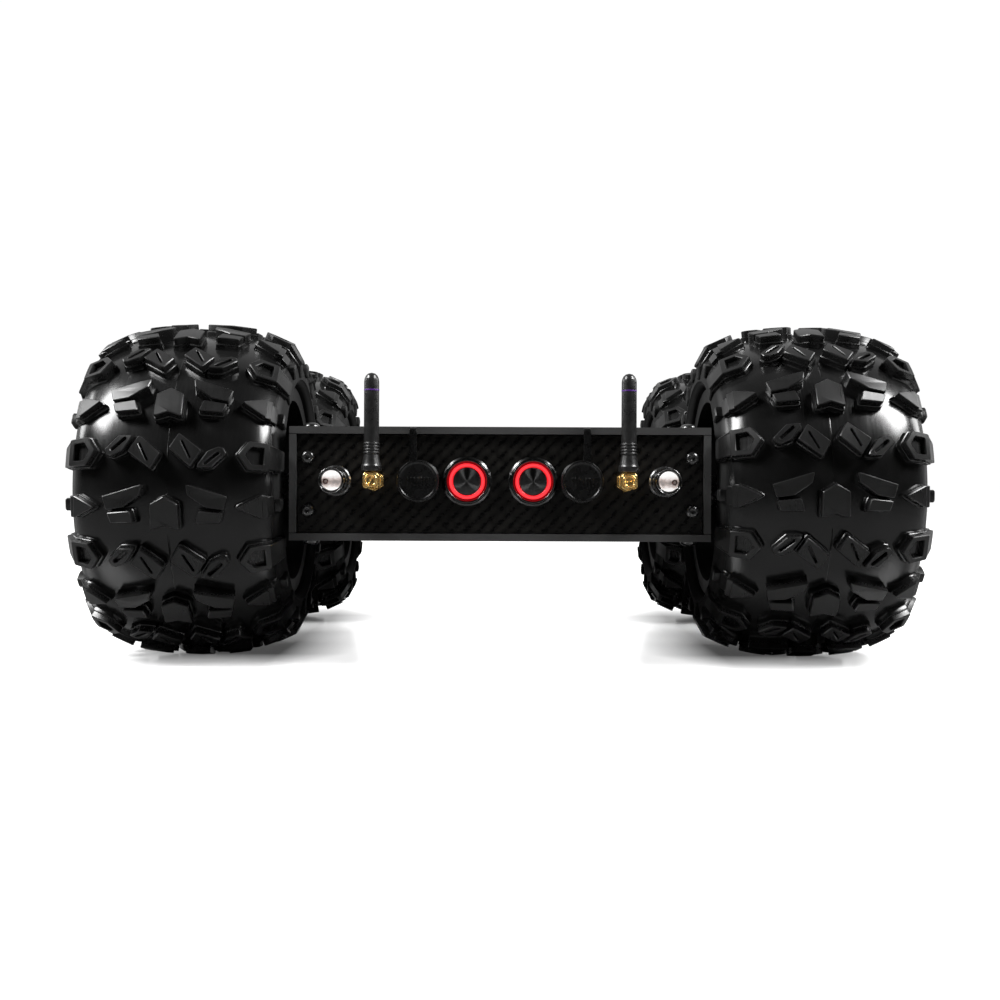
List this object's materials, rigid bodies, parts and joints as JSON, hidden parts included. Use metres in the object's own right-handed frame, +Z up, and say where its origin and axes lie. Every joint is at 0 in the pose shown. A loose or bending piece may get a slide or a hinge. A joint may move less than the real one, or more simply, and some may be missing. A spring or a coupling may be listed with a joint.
{
  "type": "four wheel robot chassis",
  "caption": "Flat box chassis of bolted dark plates on lugged tyres, with lamps, lit push buttons, stubby antennas and capped sockets on its carbon-fibre front panel.",
  "frame": {"origin": "on the floor under the middle of the chassis, midway between the axles and between the wheels", "axes": "+Z up, the front panel faces -Y, and +X is to the right as seen from in front"},
  "size_m": [0.3826, 0.3601, 0.1598],
  "materials": {
    "anodised_plate": "satin black anodised sheet",
    "carbon_fibre": "satin twill-weave laminate",
    "tyre": "soft black rubber with a satin moulded skin",
    "rim_plastic": "black moulded nylon",
    "cap_rubber": "matt moulded rubber",
    "socket_plastic": "black moulded plastic",
    "antenna_plastic": "satin black moulding",
    "button_metal": "black plated, spun finish",
    "red_light": "lit translucent ring",
    "black_steel": "black oxide",
    "motor_steel": "turned steel",
    "chrome": "bright chrome",
    "clear_lens": "clear moulded lens",
    "gold_plate": "gold plated brass",
    "circuit_board": "solder mask",
    "battery_wrap": "shrink wrap"
  },
  "bodies": {
    "chassis": {"top_plate": "anodised_plate", "bottom_plate": "anodised_plate", "side_plate_left": "anodised_plate", "side_plate_right": "anodised_plate", "front_panel": "carbon_fibre", "rear_panel": "carbon_fibre", "corner_post_front_left": "anodised_plate", "corner_post_front_right": "anodised_plate", "corner_post_rear_left": "anodised_plate", "corner_post_rear_right": "anodised_plate", "panel_screw_lower_left": "black_steel", "panel_screw_lower_right": "black_steel", "panel_screw_upper_left": "black_steel", "panel_screw_upper_right": "black_steel", "lamp_body_left": "chrome", "lamp_lens_left": "clear_lens", "antenna_socket_left": "gold_plate", "port_socket_left": "socket_plastic", "port_strap_left": "cap_rubber", "button_bezel_left": "button_metal", "button_light_ring_left": "red_light", "lamp_body_right": "chrome", "lamp_lens_right": "clear_lens", "antenna_socket_right": "gold_plate", "port_socket_right": "socket_plastic", "port_strap_right": "cap_rubber", "button_bezel_right": "button_metal", "button_light_ring_right": "red_light", "gear_motor_front_left": "motor_steel", "gear_motor_front_right": "motor_steel", "gear_motor_rear_left": "motor_steel", "gear_motor_rear_right": "motor_steel", "battery_pack": "battery_wrap", "controller_board": "circuit_board", "motor_driver_board": "circuit_board"},
    "wheel_front_left": {"tyre_front_left": "tyre", "rim_front_left": "rim_plastic", "wheel_hub_front_left": "black_steel", "wheel_nut_front_left": "black_steel"},
    "wheel_front_right": {"tyre_front_right": "tyre", "rim_front_right": "rim_plastic", "wheel_hub_front_right": "black_steel", "wheel_nut_front_right": "black_steel"},
    "wheel_rear_left": {"tyre_rear_left": "tyre", "rim_rear_left": "rim_plastic", "wheel_hub_rear_left": "black_steel", "wheel_nut_rear_left": "black_steel"},
    "wheel_rear_right": {"tyre_rear_right": "tyre", "rim_rear_right": "rim_plastic", "wheel_hub_rear_right": "black_steel", "wheel_nut_rear_right": "black_steel"},
    "button_left": {"button_cap_left": "button_metal"},
    "antenna_left": {"antenna_elbow_left": "gold_plate", "antenna_rod_left": "antenna_plastic"},
    "cap_left": {"dust_cap_left": "cap_rubber"},
    "button_right": {"button_cap_right": "button_metal"},
    "antenna_right": {"antenna_elbow_right": "gold_plate", "antenna_rod_right": "antenna_plastic"},
    "cap_right": {"dust_cap_right": "cap_rubber"}
  },
  "joints": [
    {"name": "wheel_spin_front_left", "type": "hinge", "parent": "chassis", "child": "wheel_front_left", "pos_m": [-0.1429, -0.1, 0.08], "axis": [1, 0, 0], "continuous": true},
    {"name": "wheel_spin_front_right", "type": "hinge", "parent": "chassis", "child": "wheel_front_right", "pos_m": [0.1429, -0.1, 0.08], "axis": [1, 0, 0], "continuous": true},
    {"name": "wheel_spin_rear_left", "type": "hinge", "parent": "chassis", "child": "wheel_rear_left", "pos_m": [-0.1429, 0.1, 0.08], "axis": [1, 0, 0], "continuous": true},
    {"name": "wheel_spin_rear_right", "type": "hinge", "parent": "chassis", "child": "wheel_rear_right", "pos_m": [0.1429, 0.1, 0.08], "axis": [1, 0, 0], "continuous": true},
    {"name": "button_press_left", "type": "slide", "parent": "chassis", "child": "button_left", "axis": [0, 1, 0], "range_m": [0, 0.002], "stiffness_N_per_m": 900, "springref_m": -0.001},
    {"name": "button_press_right", "type": "slide", "parent": "chassis", "child": "button_right", "axis": [0, 1, 0], "range_m": [0, 0.002], "stiffness_N_per_m": 900, "springref_m": -0.001},
    {"name": "antenna_swivel_left", "type": "hinge", "parent": "chassis", "child": "antenna_left", "pos_m": [-0.0555, -0.1705, 0.0836], "axis": [0, 1, 0], "range_deg": [-45, 90]},
    {"name": "antenna_swivel_right", "type": "hinge", "parent": "chassis", "child": "antenna_right", "pos_m": [0.0555, -0.1705, 0.0836], "axis": [0, -1, 0], "range_deg": [-45, 90]},
    {"name": "cap_flip_left", "type": "hinge", "parent": "chassis", "child": "cap_left", "pos_m": [-0.036, -0.1614, 0.1046], "axis": [-1, 0, 0], "range_deg": [0, 100]},
    {"name": "cap_flip_right", "type": "hinge", "parent": "chassis", "child": "cap_right", "pos_m": [0.036, -0.1614, 0.1046], "axis": [-1, 0, 0], "range_deg": [0, 100]}
  ]
}
